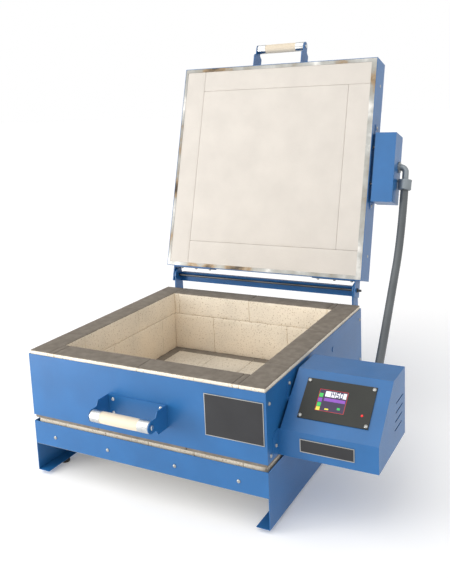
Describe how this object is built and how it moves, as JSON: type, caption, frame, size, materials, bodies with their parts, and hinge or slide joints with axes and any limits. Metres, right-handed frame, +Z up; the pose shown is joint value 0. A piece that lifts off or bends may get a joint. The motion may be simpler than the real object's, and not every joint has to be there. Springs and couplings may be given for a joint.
{
  "type": "glass fusing kiln",
  "caption": "Low square brick kiln chamber on a legged steel base, with a fibre-lined lid hinged open behind it, a sloped touch-screen control box and a conduit.",
  "frame": {"origin": "on the ground under the middle of the chamber", "axes": "+X to the operator's right, +Y away from the operator, +Z up"},
  "size_m": [0.8146, 0.9228, 1.0157],
  "materials": {
    "blue_paint": "satin",
    "black_steel": "satin",
    "zinc_steel": "satin",
    "dark_steel": "satin",
    "heat_stained_steel": "satin",
    "firebrick": "matte",
    "fibre_board": "matte",
    "wood": "satin",
    "rubber": "matte",
    "black_plate": "satin",
    "faceplate_black": "satin",
    "screen_glass": "gloss",
    "red_lamp": "gloss",
    "board_green": "matte",
    "black_plastic": "matte",
    "transformer_core": "matte",
    "element_wire": "matte",
    "glazed_bushing": "gloss",
    "grey_jacket": "satin",
    "cast_fitting": "satin"
  },
  "bodies": {
    "base": {"base_front_panel": "blue_paint", "base_rear_panel": "blue_paint", "base_left_leg": "blue_paint", "base_right_leg": "blue_paint", "base_pan": "zinc_steel", "floor_slab": "firebrick", "rubber_feet": "rubber", "base_screws": "zinc_steel", "base_hinge_brackets": "blue_paint", "chamber_hinge_pins": "dark_steel"},
    "chamber": {"front_wall_bricks": "firebrick", "rear_wall_bricks": "firebrick", "left_wall_bricks": "firebrick", "right_wall_bricks": "firebrick", "case_front_panel": "blue_paint", "case_rear_panel": "blue_paint", "case_left_panel": "blue_paint", "case_right_panel": "blue_paint", "case_screws": "zinc_steel", "case_plug": "blue_paint", "thermocouple": "glazed_bushing", "front_handle_bracket": "blue_paint", "front_handle_grip": "wood", "front_handle_hardware": "zinc_steel", "uprights": "blue_paint", "cross_channel": "blue_paint", "hinge_rod": "dark_steel", "chamber_hinge_brackets": "blue_paint", "control_cover": "blue_paint", "control_side_panel": "blue_paint", "control_brackets": "blue_paint", "control_screws": "zinc_steel", "control_faceplate": "faceplate_black", "touch_screen": "screen_glass", "status_lamp": "red_lamp", "circuit_board": "board_green", "transformer": "transformer_core", "relays_and_terminals": "black_plastic", "bare_plates": "black_plate", "conduit_connector": "cast_fitting", "cord_gland": "black_plastic", "conduit": "grey_jacket"},
    "lid": {"lid_band": "blue_paint", "lid_cover": "blue_paint", "lid_trim": "heat_stained_steel", "fibre_border": "fibre_board", "fibre_center_panel": "fibre_board", "lid_insulation": "fibre_board", "heating_element": "element_wire", "lid_ears": "blue_paint", "lid_screws": "zinc_steel", "junction_bracket": "blue_paint", "junction_box": "blue_paint", "lead_bushings": "glazed_bushing", "conduit_elbow": "cast_fitting", "conduit_collar": "cast_fitting", "lid_handle_bracket": "blue_paint", "lid_handle_grip": "wood", "lid_handle_hardware": "zinc_steel"}
  },
  "joints": [
    {"name": "chamber_hinge", "type": "hinge", "parent": "base", "child": "chamber", "pos_m": [0, 0.318, 0.14105], "axis": [-1, 0, 0], "range_deg": [0, 50]},
    {"name": "lid_hinge", "type": "hinge", "parent": "chamber", "child": "lid", "pos_m": [0, 0.328, 0.3394], "axis": [1, 0, 0], "range_deg": [0, 106.4], "deforming": ["conduit"]}
  ]
}
